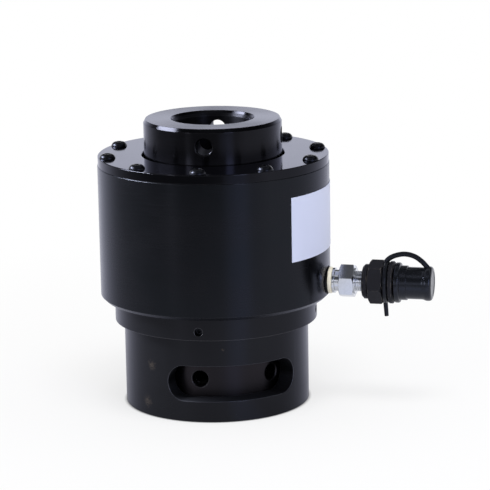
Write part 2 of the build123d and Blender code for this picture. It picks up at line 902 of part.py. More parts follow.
# Poppet: its cone closes on the seat, and its stem is pushed in by the mating coupler
seat_slope = (valve_chamber_radius - valve_mouth_radius) / valve_seat_length
poppet_cone_end = valve_seat_end - 2 * seat_gap
poppet_cone_start = poppet_cone_end - (poppet_radius - valve_mouth_radius) / seat_slope
poppet_back = poppet_cone_start - poppet_head_length
poppet_seal_middle = poppet_cone_start - poppet_head_length / 2
with BuildPart() as valve_poppet:
    with BuildSketch(port_section):
        with BuildLine():
            Polyline(
                (valve_stop_end - poppet_tail_hold, 0),
                (valve_stop_end - poppet_tail_hold, poppet_tail_radius),
                (poppet_back, poppet_tail_radius),
                (poppet_back, poppet_radius),
                (poppet_seal_middle - 2 * poppet_seal_wire, poppet_radius),
                (poppet_seal_middle - 2 * poppet_seal_wire, poppet_radius - 2 * poppet_seal_wire),
                (poppet_seal_middle + 2 * poppet_seal_wire, poppet_radius - 2 * poppet_seal_wire),
                (poppet_seal_middle + 2 * poppet_seal_wire, poppet_radius),
                (poppet_cone_start, poppet_radius),
                (poppet_cone_end, valve_mouth_radius - seat_gap),
                (poppet_cone_end, poppet_stem_radius),
                (nipple_end - poppet_front_recess, poppet_stem_radius),
                (nipple_end - poppet_front_recess, 0),
                close=True,
            )
        make_face()
    revolve(axis=port_axis)

with BuildPart() as poppet_seal:
    seal_centre = poppet_radius - poppet_seal_wire + thread_clearance
    with BuildSketch(port_section):
        with Locations((poppet_seal_middle, seal_centre)):
            Circle(poppet_seal_wire)
    revolve(axis=port_axis)

# Valve spring, between the stop and the poppet's head
valve_coil = coil(
    valve_spring_radius,
    valve_spring_wire,
    poppet_back - valve_stop_end - seat_gap,
    valve_spring_turns,
)
with BuildPart() as valve_spring:
    with Locations(port_plane(valve_stop_end + seat_gap / 2)):
        add(valve_coil)

# Strap: straight runs joined by arcs, in the upright plane through the port axis
strap_points = [Vector(tether_ring_distance + x, 0, port_height + h) for x, h in strap_route]
strap_radii = []
for before, here, after in zip(strap_points, strap_points[1:], strap_points[2:]):
    turn_angle = (here - before).get_angle(after - here)
    shorter = min((here - before).length, (after - here).length)
    strap_radii.append(strap_bend_share * shorter / tan(radians(turn_angle / 2)))
print("strap radii", [round(radius, 1) for radius in strap_radii])
with BuildPart() as tether_strap:
    with BuildLine() as strap_line:
        FilletPolyline(*strap_points, radius=strap_radii)
    with BuildSketch(Plane(origin=strap_points[0], z_dir=strap_points[1] - strap_points[0])):
        Circle(strap_radius)
    sweep()
strap_length = strap_line.wires()[0].length
print("strap length", round(strap_length, 2), "volume", round(tether_strap.part.volume, 2))

# Dust cap: a rubber cup over the nose, with a lug that takes the strap's end
with BuildPart() as dust_cap:
    with BuildSketch(port_section):
        with BuildLine():
            Polyline(
                (cap_bore_end, 0),
                (cap_bore_end, cap_bore_radius),
                (cap_start, cap_bore_radius),
                (cap_start, cap_lip_radius - small_chamfer),
                (cap_start + small_chamfer, cap_lip_radius),
                (cap_step_start - small_chamfer, cap_lip_radius),
                (cap_step_start, cap_lip_radius - small_chamfer),
                (cap_step_start, cap_step_radius),
                (cap_barrel_start - small_chamfer, cap_step_radius),
                (cap_barrel_start, cap_barrel_radius),
                (cap_bead_start, cap_barrel_radius),
                (cap_bead_start + small_chamfer, cap_bead_radius),
                (cap_bead_end, cap_bead_radius),
            )
            crown_rim = (cap_end, cap_crown_radius)
            RadiusArc((cap_bead_end, cap_bead_radius), crown_rim, -cap_crown_arc)
            Polyline(crown_rim, (cap_end, 0), (cap_bore_end, 0))
        make_face()
    revolve(axis=port_axis)
    lug_plane = Plane(origin=strap_points[-1], z_dir=strap_points[-1] - strap_points[-2])
    with BuildSketch(lug_plane):
        Circle(tether_lug_radius)
    extrude(amount=2 * tether_lug_radius)

# Tether ring: moulded ring in the groove, with a lug for the strap and a cut tail
with BuildPart() as tether_ring:
    with BuildSketch(port_section):
        with Locations((tether_ring_distance, tether_ring_radius)):
            Circle(tether_ring_wire)
    revolve(axis=port_axis)
    lug_start = strap_points[0] - (strap_points[1] - strap_points[0]).normalized() * strap_radius
    with BuildSketch(Plane(origin=lug_start, z_dir=strap_points[1] - strap_points[0])):
        Circle(tether_lug_radius)
    extrude(amount=strap_radius)
    ring_centre = Vector(tether_ring_distance, 0, port_height)
    tail_start = ring_centre + Vector(tether_tail_start[0], 0, tether_tail_start[1])
    tail_end = ring_centre + Vector(tether_tail_end[0], 0, tether_tail_end[1])
    with BuildSketch(Plane(origin=tail_start, z_dir=tail_end - tail_start)):
        Circle(tether_tail_radius)
    extrude(amount=(tail_end - tail_start).length)

# Blank foil label on the body, over the port
label_edge = radians(-label_half_angle)
label_plane = Plane(
    origin=(0, 0, 0),
    x_dir=(cos(label_edge), sin(label_edge), 0),
    z_dir=(sin(label_edge), -cos(label_edge), 0),
)
with BuildPart() as label:
    with BuildSketch(label_plane):
        with BuildLine():
            Polyline(
                (body_radius + label_lift, label_bottom),
                (body_radius + label_thickness, label_bottom),
                (body_radius + label_thickness, label_bottom + label_height),
                (body_radius + label_lift, label_bottom + label_height),
                close=True,
            )
        make_face()
    revolve(axis=Axis.Z, revolution_arc=2 * label_half_angle)

for piece_name, piece in {
    "bridge": bridge,
    "bridge_set_screws": bridge_set_screws,
    "nut_socket": nut_socket,
    "cylinder_body": cylinder_body,
    "cover_plate": cover_plate,
    "cover_screws": cover_screws,
    "piston": piston,
    "return_springs": return_springs,
    "outer_seal": outer_seal,
    "outer_backup_ring": outer_backup_ring,
    "outer_guide_ring": outer_guide_ring,
    "inner_seal": inner_seal,
    "inner_backup_ring": inner_backup_ring,
    "inner_guide_ring": inner_guide_ring,
    "puller": puller,
    "port_seal_washer": port_seal_washer,
    "port_adapter": port_adapter,
    "coupler_nipple": coupler_nipple,
    "valve_stop": valve_stop,
    "valve_poppet": valve_poppet,
    "poppet_seal": poppet_seal,
    "valve_spring": valve_spring,
    "tether_strap": tether_strap,
    "dust_cap": dust_cap,
    "tether_ring": tether_ring,
    "label": label,
}.items():
    save(piece, piece_name)
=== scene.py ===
"""Dresses the hydraulic bolt tensioner and sets it on a pale studio floor.

Everything is in metres, in the frame of the CAD model: the bolt axis is Z, the foot stands
at Z 0, and the oil port looks along +X. An azimuth is counted from the front (-Y) towards +X.
"""

from math import cos, pi, radians, sin

import bmesh
import bpy
from mathutils import Matrix, Vector


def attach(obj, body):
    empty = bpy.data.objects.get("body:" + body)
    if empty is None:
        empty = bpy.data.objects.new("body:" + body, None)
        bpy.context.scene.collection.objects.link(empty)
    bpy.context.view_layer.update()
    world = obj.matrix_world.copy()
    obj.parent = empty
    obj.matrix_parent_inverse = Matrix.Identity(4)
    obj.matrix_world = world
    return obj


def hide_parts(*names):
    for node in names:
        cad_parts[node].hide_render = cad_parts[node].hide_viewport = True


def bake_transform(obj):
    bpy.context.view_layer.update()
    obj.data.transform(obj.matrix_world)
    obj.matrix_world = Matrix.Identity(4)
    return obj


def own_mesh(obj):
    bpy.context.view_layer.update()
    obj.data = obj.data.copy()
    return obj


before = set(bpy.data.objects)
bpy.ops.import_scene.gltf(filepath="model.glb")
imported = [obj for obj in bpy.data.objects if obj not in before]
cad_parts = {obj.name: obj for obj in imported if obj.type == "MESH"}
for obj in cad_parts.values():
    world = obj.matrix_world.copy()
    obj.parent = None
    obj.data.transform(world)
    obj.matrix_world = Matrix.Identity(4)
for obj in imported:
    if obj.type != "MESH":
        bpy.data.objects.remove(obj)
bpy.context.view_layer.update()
mm = 0.001


# Bridge: the foot ring that stands round the nut, with two windows for the tommy bar and a
# thicker collar. It is turned from bar, milled, and black oxided in a hot bath.

def linear(colour):
    """Linear colour of an sRGB hex value."""
    channels = [int(colour[start:start + 2], 16) / 255 for start in (1, 3, 5)]
    return [c / 12.92 if c <= 0.04045 else ((c + 0.055) / 1.055) ** 2.4 for c in channels] + [1]


def new_material(name):
    """An empty node material with its output."""
    material = bpy.data.materials.new(name)
    material.use_nodes = True
    material.node_tree.nodes.clear()
    return material, material.node_tree.nodes.new("ShaderNodeOutputMaterial")


def add(material, kind, inputs=None, **settings):
    """Adds a node with its settings; an input gets a value, or the output that feeds it. By
    number, a Map Range goes from 1 and 2 to 3 and 4, and a colour Mix takes 6 and 7 by 0."""
    tree = material.node_tree
    made = tree.nodes.new(kind)
    for name, value in settings.items():
        setattr(made, name, value)
    for name, value in (inputs or {}).items():
        if isinstance(value, bpy.types.NodeSocket):
            tree.links.new(value, made.inputs[name])
        else:
            made.inputs[name].default_value = value
    return made


def turned_black_oxide(name, colour, roughness, feed, edge=0.3 * mm, stretch=0.6, inside=(),
                       scuffs=()):
    """Black oxide on turned steel. The oxide is a thin dark skin, so the steel's fine tool
    marks still run round it: bands of light stretch across the marks, and edges stay glossy.
    The real feed is about 0.2 mm, and is drawn coarser so that it shows. Faces inside of a
    radius, between two heights, are milled or drilled and so duller; their colour is also
    scaled by a share, as painted shade in bores and holes or as a painted highlight on window
    walls and sills. Edges are painted paler: partly oxide rubbed off, partly a painted
    highlight for the glint of their small chamfers."""
    material, output = new_material(name)
    place = add(material, "ShaderNodeTexCoord").outputs["Object"]
    axes = add(material, "ShaderNodeSeparateXYZ", {0: place}).outputs
    flat = add(material, "ShaderNodeCombineXYZ", {0: axes[0], 1: axes[1]}).outputs[0]
    radius = add(material, "ShaderNodeVectorMath", {0: flat}, operation="LENGTH").outputs["Value"]
    across = add(material, "ShaderNodeCombineXYZ", {0: radius, 1: axes[2]}).outputs[0]
    cut = add(material, "ShaderNodeVectorMath", {0: across, "Scale": 1 / feed},
              operation="SCALE").outputs[0]
    drift = add(material, "ShaderNodeVectorMath", {0: flat, "Scale": 1 / (18 * mm)},
                operation="SCALE").outputs[0]
    path = add(material, "ShaderNodeVectorMath", {0: cut, 1: drift}, operation="ADD").outputs[0]
    marks = add(material, "ShaderNodeTexNoise", {"Vector": path, "Scale": 1.0, "Detail": 2.0},
                noise_dimensions="3D").outputs["Fac"]
    bath = add(material, "ShaderNodeTexNoise", {"Vector": place, "Scale": 1 / (30 * mm),
                                                "Detail": 3.0}).outputs["Fac"]
    tint = add(material, "ShaderNodeMix", {0: bath, 6: linear(colour), 7: linear("#26262A")},
               data_type="RGBA").outputs[2]
    smear = add(material, "ShaderNodeMath", {0: bath, 1: 0.12, 2: roughness - 0.09},
                operation="MULTIPLY_ADD").outputs[0]
    rough = add(material, "ShaderNodeMath", {0: marks, 1: 0.06, 2: smear},
                operation="MULTIPLY_ADD").outputs[0]
    # Each zone's share scales its colour: below one it is painted shade, above one a painted
    # highlight. The added roughness is the milling.
    for limit, bottom, top, share in inside:
        within = add(material, "ShaderNodeMath", {0: radius, 1: limit}, operation="LESS_THAN"
                     ).outputs[0]
        above = add(material, "ShaderNodeMath", {0: axes[2], 1: bottom}, operation="GREATER_THAN"
                    ).outputs[0]
        below = add(material, "ShaderNodeMath", {0: axes[2], 1: top}, operation="LESS_THAN"
                    ).outputs[0]
        between = add(material, "ShaderNodeMath", {0: above, 1: below}, operation="MULTIPLY"
                      ).outputs[0]
        milled_and_shaded = add(material, "ShaderNodeMath", {0: within, 1: between}, operation="MULTIPLY"
                     ).outputs[0]
        rough = add(material, "ShaderNodeMath", {0: milled_and_shaded, 1: 0.2, 2: rough},
                    operation="MULTIPLY_ADD").outputs[0]
        shade = add(material, "ShaderNodeMapRange", {0: milled_and_shaded, 3: 1.0, 4: share}).outputs[0]
        tint = add(material, "ShaderNodeVectorMath", {0: tint, "Scale": shade},
                   operation="SCALE").outputs[0]
    for spot, reach in scuffs:
        far = add(material, "ShaderNodeVectorMath", {0: place, 1: spot},
                  operation="DISTANCE").outputs["Value"]
        near = add(material, "ShaderNodeMapRange", {0: far, 1: 0.0, 2: reach, 3: 0.55, 4: 0.0}
                   ).outputs[0]
        grain = add(material, "ShaderNodeTexNoise", {
            "Vector": place, "Scale": 1 / (1.6 * mm), "Detail": 5.0, "Distortion": 1.5}
                    ).outputs["Fac"]
        worn = add(material, "ShaderNodeMath", {0: grain, 1: near}, operation="MULTIPLY").outputs[0]
        worn = add(material, "ShaderNodeMapRange", {0: worn, 1: 0.15, 2: 0.32}).outputs[0]
        tint = add(material, "ShaderNodeMix", {0: worn, 6: tint, 7: linear("#4E4843")},
                   data_type="RGBA").outputs[2]
    # Edges are painted paler: partly oxide rubbed off, partly a painted highlight for the glint of
    # their small chamfers.
    rim = add(material, "ShaderNodeBevel", {"Radius": edge}, samples=12).outputs[0]
    face = add(material, "ShaderNodeNewGeometry").outputs["Normal"]
    flush = add(material, "ShaderNodeVectorMath", {0: rim, 1: face}, operation="DOT_PRODUCT"
                ).outputs["Value"]
    rubbed = add(material, "ShaderNodeMapRange", {0: flush, 1: 0.99, 2: 0.88, 3: 0.0, 4: 0.8}
                 ).outputs[0]
    tint = add(material, "ShaderNodeMix", {0: rubbed, 6: tint, 7: linear("#5C5C60")},
               data_type="RGBA").outputs[2]
    relief = add(material, "ShaderNodeBump", {"Strength": 0.25, "Distance": 0.02 * mm,
                                              "Height": marks, "Normal": rim}).outputs[0]
    around = add(material, "ShaderNodeTangent", direction_type="RADIAL", axis="Z").outputs[0]
    steel = add(material, "ShaderNodeBsdfPrincipled", {
        "Base Color": tint, "Metallic": 1.0, "Roughness": rough, "Normal": relief,
        "Anisotropic": stretch, "Anisotropic Rotation": 0.25, "Tangent": around,
        "Specular Tint": linear("#F4F5FF")})
    material.node_tree.links.new(steel.outputs[0], output.inputs[0])
    return material


def finish_node(name, material):
    """Puts a material on a CAD node."""
    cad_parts[name].data.materials[0] = material
    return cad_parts[name]


def round_axis(azimuth, radius, height):
    """A point at an azimuth round the bolt axis."""
    turn = radians(azimuth)
    return Vector((radius * sin(turn), -radius * cos(turn), height))


skirt_radius = 58.14 * mm
collar_bottom = 53.5 * mm
collar_radius = 63.75 * mm
# Zones of the bridge whose colour is scaled: inside the skirt's outer face, from 3 to 50 mm, four
# times lighter as a painted highlight on the window walls and sills; inside its bore to a third, as
# painted shade; and in the set screw holes darker still, as painted shade.
window_walls_painted_highlight = (skirt_radius - 0.05 * mm, 3 * mm, 50 * mm, 4.0)
skirt_bore_painted_shade = (skirt_radius - 0.5 * mm, 0, collar_bottom, 0.32)
screw_hole_painted_shade = (collar_radius - 0.5 * mm, collar_bottom + 0.5 * mm, 67 * mm, 0.15)
handling_scuffs = [
    (round_axis(-30.4, skirt_radius, 33 * mm), 8 * mm),
    (round_axis(-34.9, skirt_radius, 9 * mm), 9 * mm),
    (round_axis(17.3, skirt_radius, 46.2 * mm), 2.2 * mm),
]
bridge_steel = turned_black_oxide(
    "black_oxide_bridge_steel", "#27282B", 0.3, 1.1 * mm, edge=0.8 * mm,
    inside=(window_walls_painted_highlight, skirt_bore_painted_shade, screw_hole_painted_shade), scuffs=handling_scuffs)
finish_node("bridge", bridge_steel)


# Bridge set screws: four alloy steel grub screws in the collar. They are bought in, cold
# headed and blackened, so they are smoother than the bridge and a little glossier.

def blackened_fastener(name, colour, roughness):
    """Blackened and oiled alloy steel, as on any bought screw: an even dark satin."""
    material, output = new_material(name)
    place = add(material, "ShaderNodeTexCoord").outputs["Object"]
    oil = add(material, "ShaderNodeTexNoise", {"Vector": place, "Scale": 1 / (3 * mm),
                                               "Detail": 2.0}).outputs["Fac"]
    rough = add(material, "ShaderNodeMath", {0: oil, 1: 0.16, 2: roughness - 0.08},
                operation="MULTIPLY_ADD").outputs[0]
    tint = add(material, "ShaderNodeMix", {0: oil, 6: linear(colour), 7: linear("#2B2C31")},
               data_type="RGBA").outputs[2]
    edge = add(material, "ShaderNodeBevel", {"Radius": 0.2 * mm}, samples=4).outputs[0]
    steel = add(material, "ShaderNodeBsdfPrincipled", {
        "Base Color": tint, "Metallic": 1.0, "Roughness": rough, "Normal": edge})
    material.node_tree.links.new(steel.outputs[0], output.inputs[0])
    return material


screw_steel = blackened_fastener("blackened_screw_steel", "#202126", 0.3)
finish_node("bridge_set_screws", screw_steel)


# Nut socket: the hexagon sleeve behind the windows, with six holes for the tommy bar. Turned
# and black oxided like the bridge, but less handled, and it stands in the bridge's shade.
socket_radius = 45.99 * mm
# Inside its bore and bar holes the socket is painted darker, as shade.
socket_bore_painted_shade = (socket_radius - 1.2 * mm, 0, 60 * mm, 0.15)
socket_steel = turned_black_oxide("black_oxide_socket_steel", "#302C2F", 0.34, 1.3 * mm,
                                  edge=0.9 * mm, inside=(socket_bore_painted_shade,))
finish_node("nut_socket", socket_steel)


# Cylinder body: the large drum, with the oil port in its side. Its wall is ground after
# turning, so it is the smoothest of the large faces.
body_steel = turned_black_oxide("black_oxide_body_steel", "#222529", 0.26, 1.4 * mm)
finish_node("cylinder_body", body_steel)


# Piston and its rings: ground steel with two polyurethane lip seals, and backup and guide
# rings in brown phenolic cloth. All of them lie inside the drum.

def ground_steel(name, colour, roughness):
    """Bare ground steel: bright, with short hairlines round the axis."""
    material, output = new_material(name)
    place = add(material, "ShaderNodeTexCoord").outputs["Object"]
    stretched = add(material, "ShaderNodeMapping", {"Vector": place, "Scale": (90, 90, 2500)}
                    ).outputs[0]
    lines = add(material, "ShaderNodeTexNoise", {"Vector": stretched, "Scale": 1.0, "Detail": 3.0}
                ).outputs["Fac"]
    rough = add(material, "ShaderNodeMath", {0: lines, 1: 0.14, 2: roughness - 0.07},
                operation="MULTIPLY_ADD").outputs[0]
    steel = add(material, "ShaderNodeBsdfPrincipled", {
        "Base Color": linear(colour), "Metallic": 1.0, "Roughness": rough})
    material.node_tree.links.new(steel.outputs[0], output.inputs[0])
    return material


def moulded_ring(name, colour, roughness, grain):
    """A moulded or machined ring of rubber or plastic, with a fine grain in its skin."""
    material, output = new_material(name)
    place = add(material, "ShaderNodeTexCoord").outputs["Object"]
    skin = add(material, "ShaderNodeTexNoise", {"Vector": place, "Scale": 1 / grain,
                                                "Detail": 3.0}).outputs["Fac"]
    relief = add(material, "ShaderNodeBump", {"Strength": 0.2, "Distance": 0.05 * mm,
                                              "Height": skin}).outputs[0]
    rough = add(material, "ShaderNodeMath", {0: skin, 1: 0.2, 2: roughness - 0.1},
                operation="MULTIPLY_ADD").outputs[0]
    ring = add(material, "ShaderNodeBsdfPrincipled", {
        "Base Color": linear(colour), "Roughness": rough, "Normal": relief})
    material.node_tree.links.new(ring.outputs[0], output.inputs[0])
    return material


finish_node("piston", ground_steel("ground_piston_steel", "#C2C4C8", 0.22))
seal_polyurethane = moulded_ring("black_seal_polyurethane", "#1B1B1D", 0.35, 1 * mm)
backup_phenolic = moulded_ring("brown_phenolic_ring", "#6A4A2C", 0.5, 0.8 * mm)
for side in ("outer", "inner"):
    finish_node(side + "_seal", seal_polyurethane)
    finish_node(side + "_backup_ring", backup_phenolic)
    finish_node(side + "_guide_ring", backup_phenolic)


# Return springs: ten coils of oil tempered wire between the wells in the piston and the
# cover plate, which push the piston back down. They are drawn at one length and ride with the drum.
spring_count = 10
spring_turns = 7
first_spring_azimuth = 95.5
spring_circle = 49.8 * mm
spring_wire = 0.65 * mm
spring_turn_radius = 4.35 * mm
spring_foot = 107.1 * mm
spring_head = 152.4 * mm


def make_piece(name, bm, material, smooth=True):
    """An object with its mesh in place and its material."""
    mesh = bpy.data.meshes.new(name)
    bm.to_mesh(mesh)
    bm.free()
    mesh.materials.append(material)
    if smooth:
        mesh.shade_smooth()
    else:
        mesh.shade_flat()
    piece = bpy.data.objects.new(name, mesh)
    bpy.context.scene.collection.objects.link(piece)
    return piece


def open_coil(bm, place, radius, wire, length, turns, turn_steps=24, wire_sides=12):
    """A coil of round wire with closed ends, which stands on the origin of its place."""
    steps = turn_steps * turns
    section = Matrix.Translation((radius, 0, wire)) @ Matrix.Rotation(pi / 2, 4, "X")
    ring = bmesh.ops.create_circle(bm, segments=wire_sides, radius=wire, matrix=section)["verts"]
    edges = list({edge for vert in ring for edge in vert.link_edges})
    bmesh.ops.spin(bm, geom=ring + edges, cent=(0, 0, 0), axis=(0, 0, 1),
                   dvec=(0, 0, (length - 2 * wire) / steps), angle=2 * pi * turns, steps=steps)
    bmesh.ops.holes_fill(bm, edges=bm.edges)
    bmesh.ops.recalc_face_normals(bm, faces=bm.faces)
    bmesh.ops.transform(bm, matrix=place, verts=bm.verts)


spring_form = bmesh.new()
first_spring_place = round_axis(first_spring_azimuth, spring_circle, spring_foot)
open_coil(spring_form, Matrix.Translation(first_spring_place), spring_turn_radius, spring_wire,
          spring_head - spring_foot, spring_turns)
first_spring = list(spring_form.verts) + list(spring_form.edges) + list(spring_form.faces)
bmesh.ops.spin(spring_form, geom=first_spring, cent=(0, 0, 0), axis=(0, 0, 1),
               angle=2 * pi * (1 - 1 / spring_count), steps=spring_count - 1, use_duplicate=True)
spring_steel = blackened_fastener("oil_tempered_spring_wire", "#6E7075", 0.3)
return_springs = make_piece("return_spring_coils", spring_form, spring_steel)
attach(return_springs, "cylinder")
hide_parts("return_springs")
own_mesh(return_springs)


# Cover plate: the ring that closes the drum over the springs. Its top is faced on the lathe
# and polished before oxiding, so it mirrors the puller that stands on it.
plate_steel = turned_black_oxide("black_oxide_plate_steel", "#202125", 0.11, 1.2 * mm,
                                 edge=0.4 * mm, stretch=0.5)
finish_node("cover_plate", plate_steel)
finish_node("cover_screws", screw_steel)


# Puller: the round nut that takes the pull of the stud, with four holes for the tommy bar.
# Turned from alloy steel and polished on its faces.
puller_radius = 43.2 * mm
puller_top = 180.5 * mm
puller_insides = (puller_radius - 0.5 * mm, 0, puller_top - 1.5 * mm, 1.0)
puller_steel = turned_black_oxide(
    "black_oxide_puller_steel", "#18181A", 0.19, 1.2 * mm, edge=0.4 * mm, stretch=0.8,
    inside=(puller_insides,))
finish_node("puller", puller_steel)

# The M48 thread in its bore, cut as ridges of 5 mm pitch that run up the wall.
thread_pitch = 5 * mm
thread_wall = 24 * mm
thread_crest = 21.4 * mm
thread_bottom = 52 * mm
thread_turns = 11.7
thread_steps = 64
thread_run_out = 0.2 * thread_pitch
ridge_half = 2.15 * mm
crest_half = 0.6 * mm


def thread_ridge():
    """One ridge spun up a helix, its two ends run out into the wall."""
    bm = bmesh.new()
    section = [
        bm.verts.new((thread_wall, 0, thread_bottom - ridge_half)),
        bm.verts.new((thread_crest, 0, thread_bottom - crest_half)),
        bm.verts.new((thread_crest, 0, thread_bottom + crest_half)),
        bm.verts.new((thread_wall, 0, thread_bottom + ridge_half)),
    ]
    profile = bm.faces.new(section)
    steps = int(thread_turns * thread_steps)
    bmesh.ops.spin(bm, geom=[profile, *profile.edges, *profile.verts], cent=(0, 0, 0),
                   axis=(0, 0, 1), dvec=(0, 0, thread_pitch / thread_steps),
                   angle=2 * pi * steps / thread_steps, steps=steps)
    top = thread_bottom + steps * thread_pitch / thread_steps
    for vert in bm.verts:
        inside = min(vert.co.z - thread_bottom, top - vert.co.z) / thread_run_out
        if inside < 1:
            radius = Vector((vert.co.x, vert.co.y)).length
            sunk = max(inside, 0)
            shift = (thread_wall + (radius - thread_wall) * sunk) / radius
            vert.co.x *= shift
            vert.co.y *= shift
    bmesh.ops.recalc_face_normals(bm, faces=bm.faces)
    return bm


stud_thread = make_piece("stud_thread_ridge", thread_ridge(), puller_steel, smooth=False)
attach(stud_thread, "puller")


# Port adapter: the hexagon nipple between drum and coupler, in steel with bright zinc, on a
# nylon seal washer that its collar presses on the drum.

def bright_zinc(name, colour, roughness):
    """Bright zinc plate: silver with a cool cast, its flats slightly mottled by the bath."""
    material, output = new_material(name)
    place = add(material, "ShaderNodeTexCoord").outputs["Object"]
    bath = add(material, "ShaderNodeTexNoise", {"Vector": place, "Scale": 1 / (1.2 * mm),
                                                "Detail": 2.0}).outputs["Fac"]
    tint = add(material, "ShaderNodeMix", {0: bath, 6: linear(colour), 7: linear("#C9CCD2")},
               data_type="RGBA").outputs[2]
    rough = add(material, "ShaderNodeMath", {0: bath, 1: 0.1, 2: roughness - 0.05},
                operation="MULTIPLY_ADD").outputs[0]
    edge = add(material, "ShaderNodeBevel", {"Radius": 0.3 * mm}, samples=6).outputs[0]
    relief = add(material, "ShaderNodeBump", {"Strength": 0.04, "Distance": 0.03 * mm,
                                              "Height": bath, "Normal": edge}).outputs[0]
    zinc = add(material, "ShaderNodeBsdfPrincipled", {
        "Base Color": tint, "Metallic": 1.0, "Roughness": rough, "Normal": relief})
    material.node_tree.links.new(zinc.outputs[0], output.inputs[0])
    return material


def washer_black_below(name, colour, black_end):
    """Ivory nylon, coloured near black from its drum side up to a distance along X."""
    material, output = new_material(name)
    place = add(material, "ShaderNodeTexCoord").outputs["Object"]
    along = add(material, "ShaderNodeSeparateXYZ", {0: place}).outputs[0]
    nylon = add(material, "ShaderNodeMapRange", {0: along, 1: black_end - 0.1 * mm,
                                                 2: black_end + 0.1 * mm}).outputs[0]
    skin = add(material, "ShaderNodeTexNoise", {"Vector": place, "Scale": 1 / (0.6 * mm),
                                                "Detail": 3.0}).outputs["Fac"]
    relief = add(material, "ShaderNodeBump", {"Strength": 0.1, "Distance": 0.05 * mm,
                                              "Height": skin}).outputs[0]
    tint = add(material, "ShaderNodeMix", {0: nylon, 6: linear("#0D0D0E"), 7: linear(colour)},
               data_type="RGBA").outputs[2]
    washer = add(material, "ShaderNodeBsdfPrincipled", {
        "Base Color": tint, "Roughness": 0.42, "Normal": relief, "Specular IOR Level": 0.3})
    material.node_tree.links.new(washer.outputs[0], output.inputs[0])
    return material


# Up to this distance along X the washer is coloured near black.
washer_black_end = 73.4 * mm
finish_node("port_adapter", bright_zinc("bright_zinc_plate", "#DADCE0", 0.14))
finish_node("port_seal_washer", washer_black_below("ivory_nylon", "#F3ECD8", washer_black_end))


# Coupler nipple: the male half of the quick coupler, in steel with a black phosphate that is
# matt and slightly brown. Its valve is brass, on a small spring.

def black_phosphate(name, colour, roughness):
    """Manganese phosphate on steel: a fine crystalline skin that scatters the light, worn to
    brown and grey where spanners and fingers have rubbed its edges."""
    material, output = new_material(name)
    place = add(material, "ShaderNodeTexCoord").outputs["Object"]
    crystals = add(material, "ShaderNodeTexNoise", {"Vector": place, "Scale": 1 / (0.7 * mm),
                                                    "Detail": 3.0}).outputs["Fac"]
    tint = add(material, "ShaderNodeMix", {0: crystals, 6: linear(colour), 7: linear("#2A2A2E")},
               data_type="RGBA").outputs[2]
    edge = add(material, "ShaderNodeBevel", {"Radius": 0.4 * mm}, samples=8).outputs[0]
    face = add(material, "ShaderNodeNewGeometry").outputs["Normal"]
    flush = add(material, "ShaderNodeVectorMath", {0: edge, 1: face}, operation="DOT_PRODUCT"
                ).outputs["Value"]
    patches = add(material, "ShaderNodeTexNoise", {"Vector": place, "Scale": 1 / (3 * mm),
                                                   "Detail": 4.0}).outputs["Fac"]
    rubbed = add(material, "ShaderNodeMapRange", {0: flush, 1: 0.985, 2: 0.9}).outputs[0]
    patchy = add(material, "ShaderNodeMapRange", {0: patches, 1: 0.48, 2: 0.62}).outputs[0]
    worn = add(material, "ShaderNodeMath", {0: rubbed, 1: patchy}, operation="MULTIPLY").outputs[0]
    tint = add(material, "ShaderNodeMix", {0: worn, 6: tint, 7: linear("#8C847C")},
               data_type="RGBA").outputs[2]
    relief = add(material, "ShaderNodeBump", {"Strength": 0.35, "Distance": 0.06 * mm,
                                              "Height": crystals, "Normal": edge}).outputs[0]
    skin = add(material, "ShaderNodeBsdfPrincipled", {
        "Base Color": tint, "Metallic": 0.4, "Roughness": roughness, "Normal": relief,
        "Specular IOR Level": 0.15, "Specular Tint": linear("#C4C6D2")})
    material.node_tree.links.new(skin.outputs[0], output.inputs[0])
    return material


finish_node("coupler_nipple", black_phosphate("black_phosphate_steel", "#232327", 0.42))
valve_brass = ground_steel("turned_valve_brass", "#D9B25E", 0.28)
finish_node("valve_stop", valve_brass)
finish_node("valve_poppet", valve_brass)
finish_node("poppet_seal", seal_polyurethane)

# The valve spring lies along the port's axis; it is drawn at one length and rides with the drum.
port_height = 79 * mm
valve_spring_start = 107.6 * mm
valve_spring_end = 119.8 * mm
valve_spring_radius = 3 * mm
valve_spring_wire = 0.35 * mm
valve_spring_turns = 5
valve_coil = bmesh.new()
valve_coil_place = (Matrix.Translation((valve_spring_start, 0, port_height))
                    @ Matrix.Rotation(pi / 2, 4, "Y"))
open_coil(valve_coil, valve_coil_place, valve_spring_radius, valve_spring_wire,
          valve_spring_end - valve_spring_start, valve_spring_turns)
valve_spring = make_piece("valve_spring_coil", valve_coil,
                          blackened_fastener("valve_spring_wire", "#8C8E93", 0.28))
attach(valve_spring, "cylinder")
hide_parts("valve_spring")
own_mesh(valve_spring)


# Tether: a rubber ring in the nipple's groove, with a lug, a cut tail, and a round strap that
# arches over to the dust cap. Moulded in one, in soft black rubber with a low gloss.
ring_distance = 109.7 * mm
ring_radius = 11.75 * mm
ring_wire = 1.5 * mm
lug_root_radius = 1.9 * mm
lug_end_radius = 1.75 * mm
lug_overlap = 0.6 * mm
tail_root_radius = 1.5 * mm
tail_radius = 1.35 * mm
tail_start = Vector((108.6, 0, 67.5)) * mm
tail_end = Vector((109.4, 0, 57.2)) * mm
strap_radius = 1.6 * mm

# The strap's route in mm, from the ring's lug to the bead of the cap.
strap_route = [
    (109.2, 0, 92.0),
    (110.5, 0, 94.0),
    (114.9, 0, 96.3),
    (120.9, 0, 97.6),
    (127.3, 0, 96.2),
    (131.9, 0, 92.8),
    (133.6, 0, 90.9),
    (135.3, 0, 89.0),
]


